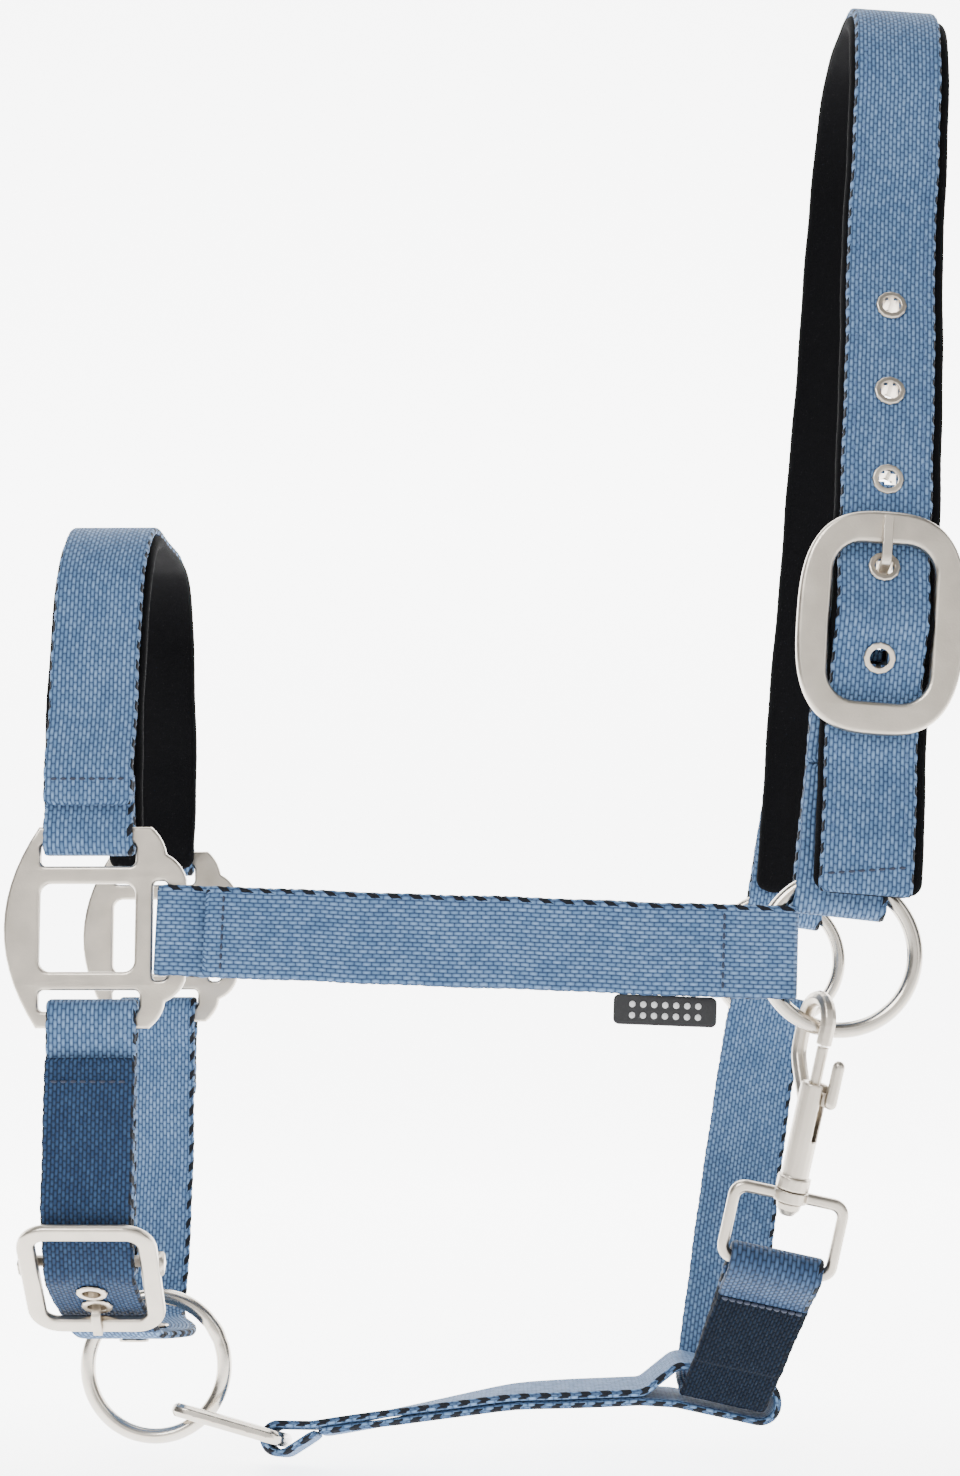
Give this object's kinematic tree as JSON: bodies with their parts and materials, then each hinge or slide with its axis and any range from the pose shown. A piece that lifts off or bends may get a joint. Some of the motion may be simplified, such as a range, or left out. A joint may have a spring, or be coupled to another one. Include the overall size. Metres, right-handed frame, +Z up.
{
  "type": "head_halter",
  "caption": "Padded blue webbing head halter for a horse: noseband, cheek, crown, chin and throat straps on rings and cast squares, two buckles and a bolt snap",
  "frame": {"origin": "On the underside of the crown pad in the middle, where the halter rests on the horse's poll", "axes": "+X from the nose towards the poll and neck, +Y towards the far (right) side of the horse's head, +Z up from the chin towards the poll"},
  "size_m": [0.2748, 0.1639, 0.4448],
  "materials": {
    "webbing_blue": "flat woven webbing, light denim blue",
    "pad_black": "matte black padding",
    "nickel": "satin nickel-plated castings",
    "eyelet_nickel": "satin nickel-plated eyelets",
    "spring_steel": "drawn spring wire",
    "tag_rubber": "soft moulded rubber with a raised pattern"
  },
  "bodies": {
    "root": {"chin_buckle_frame": "nickel", "chin_eyelet_1": "eyelet_nickel", "chin_eyelet_2": "eyelet_nickel", "chin_eyelet_3": "eyelet_nickel", "chin_eyelet_4": "eyelet_nickel", "chin_strap": "webbing_blue", "crown_buckle_frame": "nickel", "crown_eyelet_1": "eyelet_nickel", "crown_eyelet_2": "eyelet_nickel", "crown_eyelet_3": "eyelet_nickel", "crown_eyelet_4": "eyelet_nickel", "crown_eyelet_5": "eyelet_nickel", "crown_pad": "pad_black", "crown_strap": "webbing_blue", "far_cheek_strap": "webbing_blue", "far_crown_loop": "webbing_blue", "far_noseband_loop": "webbing_blue", "far_square": "nickel", "jaw_strap": "webbing_blue", "near_cheek_strap": "webbing_blue", "near_chin_chape": "webbing_blue", "near_crown_chape": "webbing_blue", "near_noseband_loop": "webbing_blue", "near_square": "nickel", "noseband_pad": "pad_black", "noseband_strap": "webbing_blue", "size_tag": "tag_rubber", "throat_strap": "webbing_blue"},
    "near_ring": {"near_cheek_ring": "nickel"},
    "far_ring": {"far_cheek_ring": "nickel"},
    "chin_ring": {"chin_ring": "nickel"},
    "chin_link": {"chin_link": "nickel"},
    "crown_tongue": {"crown_buckle_tongue": "nickel"},
    "chin_tongue": {"chin_buckle_tongue": "nickel"},
    "eye": {"swivel_eye": "nickel"},
    "snap": {"snap_body": "nickel", "snap_spring": "spring_steel", "swivel_rivet": "nickel"},
    "bolt": {"snap_bolt": "nickel"}
  },
  "joints": [
    {"name": "near_ring_spin", "type": "hinge", "parent": "root", "child": "near_ring", "pos_m": [-0.02761, -0.073, -0.28595], "axis": [0, 1, 0], "continuous": true},
    {"name": "far_ring_spin", "type": "hinge", "parent": "root", "child": "far_ring", "pos_m": [-0.02761, 0.073, -0.28595], "axis": [0, 1, 0], "continuous": true},
    {"name": "chin_ring_spin", "type": "hinge", "parent": "root", "child": "chin_ring", "pos_m": [-0.22421, 0, -0.40845], "axis": [0, 1, 0], "continuous": true},
    {"name": "chin_link_swing", "type": "hinge", "parent": "root", "child": "chin_link", "pos_m": [-0.18631, 0, -0.42985], "axis": [0, 0.9781, -0.2079], "range_deg": [0, 8]},
    {"name": "crown_tongue_pivot", "type": "hinge", "parent": "root", "child": "crown_tongue", "pos_m": [-0.01577, -0.074, -0.19597], "axis": [0.9968, 0, -0.0802], "range_deg": [0, 3]},
    {"name": "chin_tongue_pivot", "type": "hinge", "parent": "root", "child": "chin_tongue", "pos_m": [-0.23451, -0.05228, -0.3713], "axis": [1, 0, 0], "range_deg": [-3, 0]},
    {"name": "eye_swing", "type": "hinge", "parent": "root", "child": "eye", "pos_m": [-0.04557, -0.06804, -0.37045], "axis": [0.9781, 0, -0.2079], "range_deg": [-1.5, 0]},
    {"name": "snap_swivel", "type": "hinge", "parent": "eye", "child": "snap", "pos_m": [-0.03218, -0.0794, -0.30745], "axis": [0.2047, -0.1736, 0.9633], "range_deg": [-8, 8]},
    {"name": "bolt_slide", "type": "slide", "parent": "snap", "child": "bolt", "axis": [-0.2047, 0.1736, -0.9633], "range_m": [0, 0.008], "stiffness_N_per_m": 150, "deforming": ["snap_spring"]}
  ]
}
